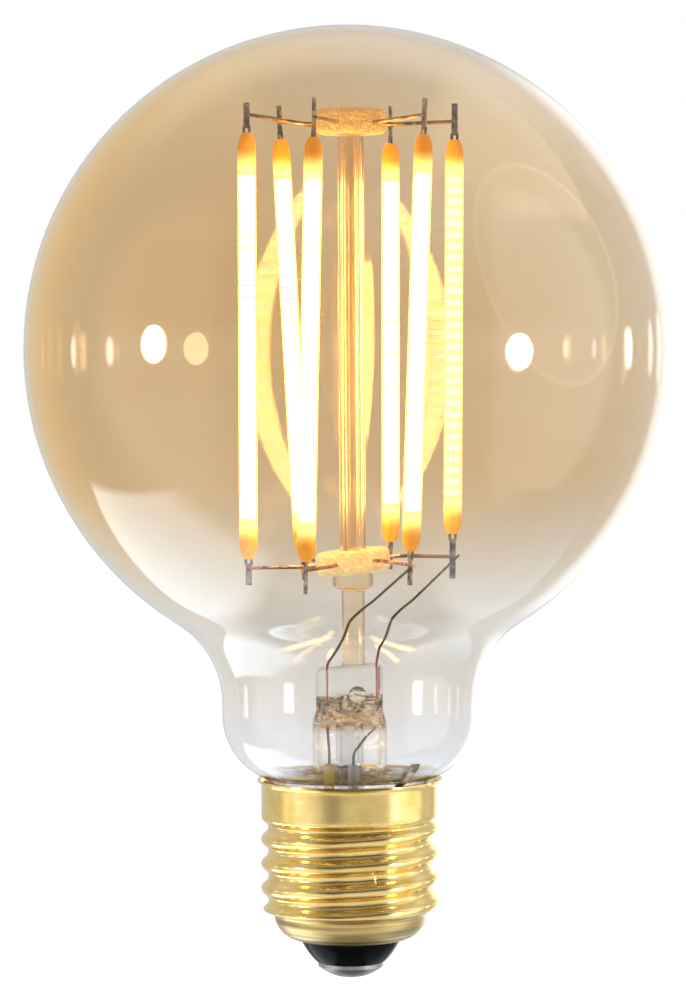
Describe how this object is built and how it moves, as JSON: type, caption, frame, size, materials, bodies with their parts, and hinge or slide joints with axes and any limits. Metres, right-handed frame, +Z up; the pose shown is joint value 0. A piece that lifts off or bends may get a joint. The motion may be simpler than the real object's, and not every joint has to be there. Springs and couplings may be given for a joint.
{
  "type": "globe bulb",
  "caption": "Globe light bulb: amber blown glass round a ring of upright glowing filaments on a glass stem, on a brass screw cap.",
  "frame": {"origin": "middle of the centre contact's flat face, on the cap's axis", "axes": "+Z up the axis from the contact to the globe's crown; -Y faces the viewer of the picture"},
  "size_m": [0.095, 0.095, 0.14],
  "materials": {
    "amber_glass": "clear blown glass with an amber tint",
    "stem_glass": "clear drawn glass, fire polished",
    "bead_glass": "sintered glass bead, glassy",
    "phosphor": "yellow silicone with phosphor, lit",
    "tab_metal": "plated sheet, bright with brown stains",
    "link_wire": "drawn wire with a thin copper skin",
    "lead_wire": "drawn wire, dark from heat",
    "sleeve_clear": "translucent white tube",
    "sleeve_yellow": "woven yellow sleeving",
    "brass": "bright rolled brass, faint draw lines",
    "black_glass": "opaque black glass, glossy",
    "contact_plate": "pressed plate, tin plated",
    "cement": "baked brown resin cement, rough",
    "board": "glass fibre laminate, white mask",
    "capacitor": "black shrunk sleeve on a drawn can",
    "chip": "black moulded resin",
    "resistor": "lacquered ceramic",
    "strip_metal": "bright rolled ribbon"
  },
  "bodies": {
    "root": {"basing_cement": "cement", "bottom_tab_1": "tab_metal", "bottom_tab_2": "tab_metal", "bottom_tab_3": "tab_metal", "bottom_tab_4": "tab_metal", "bottom_tab_5": "tab_metal", "bottom_tab_6": "tab_metal", "bridge_rectifier": "chip", "cap_insulator": "black_glass", "cap_shell": "brass", "capacitor": "capacitor", "centre_contact": "contact_plate", "contact_wire": "strip_metal", "driver_board": "board", "driver_chip": "chip", "exhaust_tube": "stem_glass", "fuse_resistor": "resistor", "glass_envelope": "amber_glass", "lead_sleeve_left": "sleeve_yellow", "lead_sleeve_right": "sleeve_clear", "lead_wire_left": "lead_wire", "lead_wire_right": "lead_wire", "led_filament_1": "phosphor", "led_filament_2": "phosphor", "led_filament_3": "phosphor", "led_filament_4": "phosphor", "led_filament_5": "phosphor", "led_filament_6": "phosphor", "lower_hub": "bead_glass", "lower_link_1": "link_wire", "lower_link_2": "link_wire", "lower_pillar": "stem_glass", "lower_stay_1": "link_wire", "lower_stay_2": "link_wire", "side_strip": "strip_metal", "stem_flare": "stem_glass", "top_tab_1": "tab_metal", "top_tab_2": "tab_metal", "top_tab_3": "tab_metal", "top_tab_4": "tab_metal", "top_tab_5": "tab_metal", "top_tab_6": "tab_metal", "upper_hub": "bead_glass", "upper_link_1": "link_wire", "upper_link_2": "link_wire", "upper_link_3": "link_wire", "upper_pillar": "stem_glass"}
  },
  "joints": []
}
